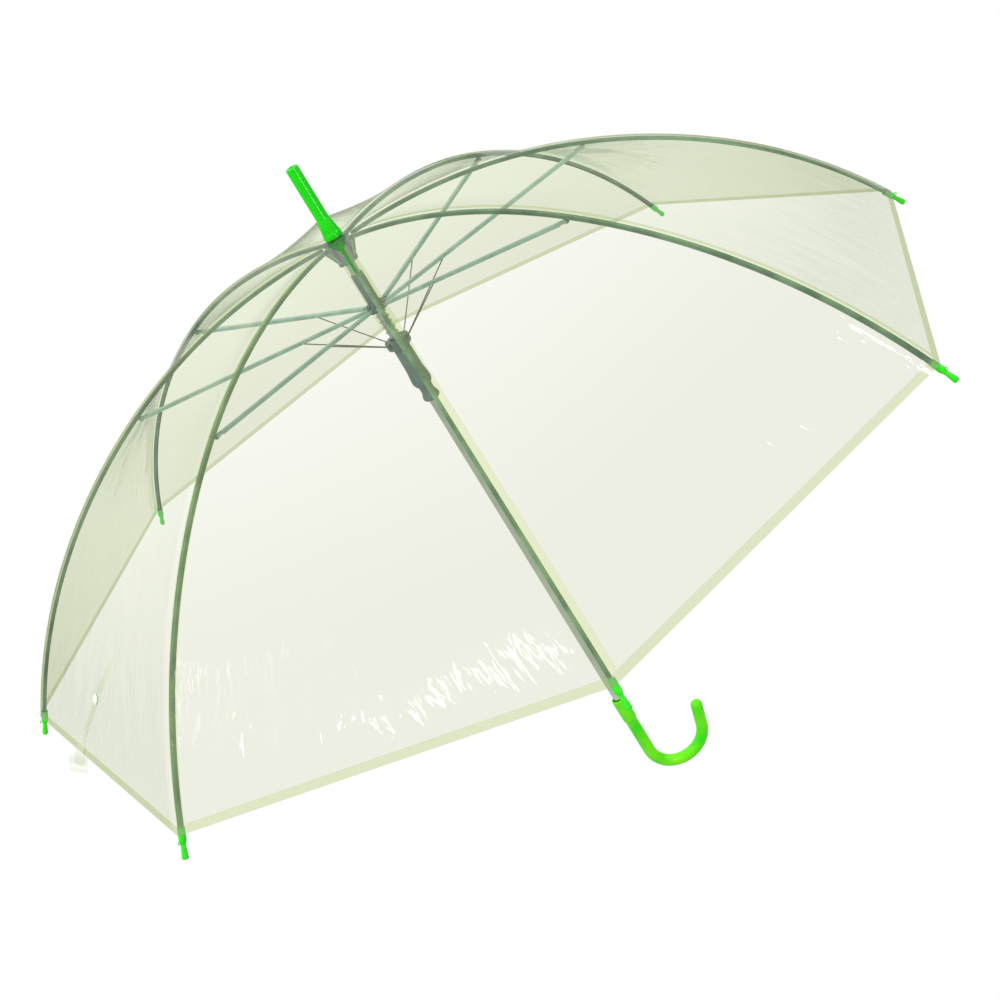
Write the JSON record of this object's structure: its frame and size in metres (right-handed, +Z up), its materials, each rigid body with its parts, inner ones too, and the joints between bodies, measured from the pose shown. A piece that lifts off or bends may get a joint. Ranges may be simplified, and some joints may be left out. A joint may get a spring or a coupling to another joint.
{
  "type": "umbrella",
  "caption": "Open clear dome umbrella with a green crook handle, a sprung rib frame, tie wires and a folding rib-and-stretcher linkage.",
  "frame": {"origin": "on the shaft's axis, in the middle of the straight grip", "axes": "+Z up the shaft towards the ferrule, +X towards the crook's opening, -Y towards rib 1"},
  "size_m": [0.8674, 0.8674, 0.6737],
  "materials": {
    "plated_steel": "bright plated steel, drawn and pressed",
    "stretcher_steel": "sage grey-green enamel on pressed steel",
    "bright_wire": "thin drawn wire",
    "spring_steel": "spring wire, bright",
    "green_plastic": "glossy neon green moulded plastic",
    "dark_plastic": "dark grey-green moulded nylon",
    "film": "clear soft film with a faint green tint",
    "strap_film": "clear soft film, doubled",
    "snap_plastic": "clear moulded snap"
  },
  "bodies": {
    "root": {"shaft_tube": "plated_steel", "ferrule": "green_plastic", "rosette": "dark_plastic", "top_notch": "dark_plastic", "notch_wire": "bright_wire", "handle": "green_plastic", "button_spring": "spring_steel", "canopy": "film", "strap": "strap_film", "strap_snap": "snap_plastic"},
    "button": {"push_button": "green_plastic"},
    "hub": {"hub": "dark_plastic", "hub_wire": "bright_wire", "main_spring": "spring_steel"},
    "slider": {"slider": "dark_plastic"},
    "rib_1": {"rib_inner_1": "plated_steel"},
    "rib_end_1": {"rib_outer_1": "plated_steel", "rib_tip_1": "green_plastic"},
    "stretcher_1": {"stretcher_1": "stretcher_steel"},
    "wire_1": {"tie_wire_1": "bright_wire"},
    "rib_2": {"rib_inner_2": "plated_steel"},
    "rib_end_2": {"rib_outer_2": "plated_steel", "rib_tip_2": "green_plastic"},
    "stretcher_2": {"stretcher_2": "stretcher_steel"},
    "wire_2": {"tie_wire_2": "bright_wire"},
    "rib_3": {"rib_inner_3": "plated_steel"},
    "rib_end_3": {"rib_outer_3": "plated_steel", "rib_tip_3": "green_plastic"},
    "stretcher_3": {"stretcher_3": "stretcher_steel"},
    "wire_3": {"tie_wire_3": "bright_wire"},
    "rib_4": {"rib_inner_4": "plated_steel"},
    "rib_end_4": {"rib_outer_4": "plated_steel", "rib_tip_4": "green_plastic"},
    "stretcher_4": {"stretcher_4": "stretcher_steel"},
    "wire_4": {"tie_wire_4": "bright_wire"},
    "rib_5": {"rib_inner_5": "plated_steel"},
    "rib_end_5": {"rib_outer_5": "plated_steel", "rib_tip_5": "green_plastic"},
    "stretcher_5": {"stretcher_5": "stretcher_steel"},
    "wire_5": {"tie_wire_5": "bright_wire"},
    "rib_6": {"rib_inner_6": "plated_steel"},
    "rib_end_6": {"rib_outer_6": "plated_steel", "rib_tip_6": "green_plastic"},
    "stretcher_6": {"stretcher_6": "stretcher_steel"},
    "wire_6": {"tie_wire_6": "bright_wire"},
    "rib_7": {"rib_inner_7": "plated_steel"},
    "rib_end_7": {"rib_outer_7": "plated_steel", "rib_tip_7": "green_plastic"},
    "stretcher_7": {"stretcher_7": "stretcher_steel"},
    "wire_7": {"tie_wire_7": "bright_wire"},
    "rib_8": {"rib_inner_8": "plated_steel"},
    "rib_end_8": {"rib_outer_8": "plated_steel", "rib_tip_8": "green_plastic"},
    "stretcher_8": {"stretcher_8": "stretcher_steel"},
    "wire_8": {"tie_wire_8": "bright_wire"}
  },
  "joints": [
    {"name": "fold", "type": "hinge", "parent": "root", "child": "rib_1", "pos_m": [0, -0.007, 0.521], "axis": [1, 0, 0], "range_deg": [0, 79.47], "stiffness_Nm_per_rad": 0.5, "springref_deg": -114.59, "deforming": ["canopy", "strap", "strap_snap"]},
    {"name": "flex_1", "type": "hinge", "parent": "rib_1", "child": "rib_end_1", "pos_m": [0, -0.2134, 0.50028], "axis": [1, 0, 0], "range_deg": [-30, 0]},
    {"name": "knee_1", "type": "hinge", "parent": "rib_1", "child": "stretcher_1", "pos_m": [0, -0.208, 0.498], "axis": [1, 0, 0], "range_deg": [-158.95, 0]},
    {"name": "tie_1", "type": "hinge", "parent": "stretcher_1", "child": "wire_1", "pos_m": [0, -0.0686, 0.48205], "axis": [1, 0, 0], "range_deg": [-0.01, 25.55]},
    {"name": "runner", "type": "hinge", "parent": "stretcher_1", "child": "hub", "pos_m": [0, -0.007, 0.475], "axis": [1, 0, 0], "range_deg": [-0.01, 79.48]},
    {"name": "fold_2", "type": "hinge", "parent": "root", "child": "rib_2", "pos_m": [0.00495, -0.00495, 0.521], "axis": [0.7071, 0.7071, 0], "range_deg": [0, 79.47]},
    {"name": "flex_2", "type": "hinge", "parent": "rib_2", "child": "rib_end_2", "pos_m": [0.1509, -0.1509, 0.50028], "axis": [0.7071, 0.7071, 0], "range_deg": [-30, 0]},
    {"name": "knee_2", "type": "hinge", "parent": "rib_2", "child": "stretcher_2", "pos_m": [0.14708, -0.14708, 0.498], "axis": [0.7071, 0.7071, 0], "range_deg": [-158.95, 0]},
    {"name": "tie_2", "type": "hinge", "parent": "stretcher_2", "child": "wire_2", "pos_m": [0.04851, -0.04851, 0.48205], "axis": [0.7071, 0.7071, 0], "range_deg": [-0.01, 25.55]},
    {"name": "fold_3", "type": "hinge", "parent": "root", "child": "rib_3", "pos_m": [0.007, 0, 0.521], "axis": [0, 1, 0], "range_deg": [0, 79.47]},
    {"name": "flex_3", "type": "hinge", "parent": "rib_3", "child": "rib_end_3", "pos_m": [0.2134, 0, 0.50028], "axis": [0, 1, 0], "range_deg": [-30, 0]},
    {"name": "knee_3", "type": "hinge", "parent": "rib_3", "child": "stretcher_3", "pos_m": [0.208, 0, 0.498], "axis": [0, 1, 0], "range_deg": [-158.95, 0]},
    {"name": "tie_3", "type": "hinge", "parent": "stretcher_3", "child": "wire_3", "pos_m": [0.0686, 0, 0.48205], "axis": [0, 1, 0], "range_deg": [-0.01, 25.55]},
    {"name": "fold_4", "type": "hinge", "parent": "root", "child": "rib_4", "pos_m": [0.00495, 0.00495, 0.521], "axis": [-0.7071, 0.7071, 0], "range_deg": [0, 79.47]},
    {"name": "flex_4", "type": "hinge", "parent": "rib_4", "child": "rib_end_4", "pos_m": [0.1509, 0.1509, 0.50028], "axis": [-0.7071, 0.7071, 0], "range_deg": [-30, 0]},
    {"name": "knee_4", "type": "hinge", "parent": "rib_4", "child": "stretcher_4", "pos_m": [0.14708, 0.14708, 0.498], "axis": [-0.7071, 0.7071, 0], "range_deg": [-158.95, 0]},
    {"name": "tie_4", "type": "hinge", "parent": "stretcher_4", "child": "wire_4", "pos_m": [0.04851, 0.04851, 0.48205], "axis": [-0.7071, 0.7071, 0], "range_deg": [-0.01, 25.55]},
    {"name": "fold_5", "type": "hinge", "parent": "root", "child": "rib_5", "pos_m": [0, 0.007, 0.521], "axis": [-1, 0, 0], "range_deg": [0, 79.47]},
    {"name": "flex_5", "type": "hinge", "parent": "rib_5", "child": "rib_end_5", "pos_m": [0, 0.2134, 0.50028], "axis": [-1, 0, 0], "range_deg": [-30, 0]},
    {"name": "knee_5", "type": "hinge", "parent": "rib_5", "child": "stretcher_5", "pos_m": [0, 0.208, 0.498], "axis": [-1, 0, 0], "range_deg": [-158.95, 0]},
    {"name": "tie_5", "type": "hinge", "parent": "stretcher_5", "child": "wire_5", "pos_m": [0, 0.0686, 0.48205], "axis": [-1, 0, 0], "range_deg": [-0.01, 25.55]},
    {"name": "fold_6", "type": "hinge", "parent": "root", "child": "rib_6", "pos_m": [-0.00495, 0.00495, 0.521], "axis": [-0.7071, -0.7071, 0], "range_deg": [0, 79.47]},
    {"name": "flex_6", "type": "hinge", "parent": "rib_6", "child": "rib_end_6", "pos_m": [-0.1509, 0.1509, 0.50028], "axis": [-0.7071, -0.7071, 0], "range_deg": [-30, 0]},
    {"name": "knee_6", "type": "hinge", "parent": "rib_6", "child": "stretcher_6", "pos_m": [-0.14708, 0.14708, 0.498], "axis": [-0.7071, -0.7071, 0], "range_deg": [-158.95, 0]},
    {"name": "tie_6", "type": "hinge", "parent": "stretcher_6", "child": "wire_6", "pos_m": [-0.04851, 0.04851, 0.48205], "axis": [-0.7071, -0.7071, 0], "range_deg": [-0.01, 25.55]},
    {"name": "fold_7", "type": "hinge", "parent": "root", "child": "rib_7", "pos_m": [-0.007, 0, 0.521], "axis": [0, -1, 0], "range_deg": [0, 79.47]},
    {"name": "flex_7", "type": "hinge", "parent": "rib_7", "child": "rib_end_7", "pos_m": [-0.2134, 0, 0.50028], "axis": [0, -1, 0], "range_deg": [-30, 0]},
    {"name": "knee_7", "type": "hinge", "parent": "rib_7", "child": "stretcher_7", "pos_m": [-0.208, 0, 0.498], "axis": [0, -1, 0], "range_deg": [-158.95, 0]},
    {"name": "tie_7", "type": "hinge", "parent": "stretcher_7", "child": "wire_7", "pos_m": [-0.0686, 0, 0.48205], "axis": [0, -1, 0], "range_deg": [-0.01, 25.55]},
    {"name": "fold_8", "type": "hinge", "parent": "root", "child": "rib_8", "pos_m": [-0.00495, -0.00495, 0.521], "axis": [0.7071, -0.7071, 0], "range_deg": [0, 79.47]},
    {"name": "flex_8", "type": "hinge", "parent": "rib_8", "child": "rib_end_8", "pos_m": [-0.1509, -0.1509, 0.50028], "axis": [0.7071, -0.7071, 0], "range_deg": [-30, 0]},
    {"name": "knee_8", "type": "hinge", "parent": "rib_8", "child": "stretcher_8", "pos_m": [-0.14708, -0.14708, 0.498], "axis": [0.7071, -0.7071, 0], "range_deg": [-158.95, 0]},
    {"name": "tie_8", "type": "hinge", "parent": "stretcher_8", "child": "wire_8", "pos_m": [-0.04851, -0.04851, 0.48205], "axis": [0.7071, -0.7071, 0], "range_deg": [-0.01, 25.55]},
    {"name": "slider_slide", "type": "slide", "parent": "hub", "child": "slider", "axis": [0, 0, 1], "range_m": [-0.00001, 0.02433], "deforming": ["main_spring"]},
    {"name": "button_press", "type": "slide", "parent": "root", "child": "button", "axis": [0, -1, 0], "range_m": [0, 0.0015], "stiffness_N_per_m": 600, "springref_m": -0.001, "deforming": ["button_spring"]}
  ],
  "couplings": [
    {"joint": "flex_1", "follows": "fold", "ratio": -0.37749},
    {"joint": "knee_1", "follows": "fold", "ratio": -2},
    {"joint": "tie_1", "follows": "fold", "ratio": 0.32143},
    {"joint": "runner", "follows": "fold", "ratio": 1},
    {"joint": "fold_2", "follows": "fold", "ratio": 1},
    {"joint": "flex_2", "follows": "fold", "ratio": -0.37749},
    {"joint": "knee_2", "follows": "fold", "ratio": -2},
    {"joint": "tie_2", "follows": "fold", "ratio": 0.32143},
    {"joint": "fold_3", "follows": "fold", "ratio": 1},
    {"joint": "flex_3", "follows": "fold", "ratio": -0.37749},
    {"joint": "knee_3", "follows": "fold", "ratio": -2},
    {"joint": "tie_3", "follows": "fold", "ratio": 0.32143},
    {"joint": "fold_4", "follows": "fold", "ratio": 1},
    {"joint": "flex_4", "follows": "fold", "ratio": -0.37749},
    {"joint": "knee_4", "follows": "fold", "ratio": -2},
    {"joint": "tie_4", "follows": "fold", "ratio": 0.32143},
    {"joint": "fold_5", "follows": "fold", "ratio": 1},
    {"joint": "flex_5", "follows": "fold", "ratio": -0.37749},
    {"joint": "knee_5", "follows": "fold", "ratio": -2},
    {"joint": "tie_5", "follows": "fold", "ratio": 0.32143},
    {"joint": "fold_6", "follows": "fold", "ratio": 1},
    {"joint": "flex_6", "follows": "fold", "ratio": -0.37749},
    {"joint": "knee_6", "follows": "fold", "ratio": -2},
    {"joint": "tie_6", "follows": "fold", "ratio": 0.32143},
    {"joint": "fold_7", "follows": "fold", "ratio": 1},
    {"joint": "flex_7", "follows": "fold", "ratio": -0.37749},
    {"joint": "knee_7", "follows": "fold", "ratio": -2},
    {"joint": "tie_7", "follows": "fold", "ratio": 0.32143},
    {"joint": "fold_8", "follows": "fold", "ratio": 1},
    {"joint": "flex_8", "follows": "fold", "ratio": -0.37749},
    {"joint": "knee_8", "follows": "fold", "ratio": -2},
    {"joint": "tie_8", "follows": "fold", "ratio": 0.32143},
    {"joint": "slider_slide", "follows": "fold", "m_per_rad": 0.017531}
  ]
}
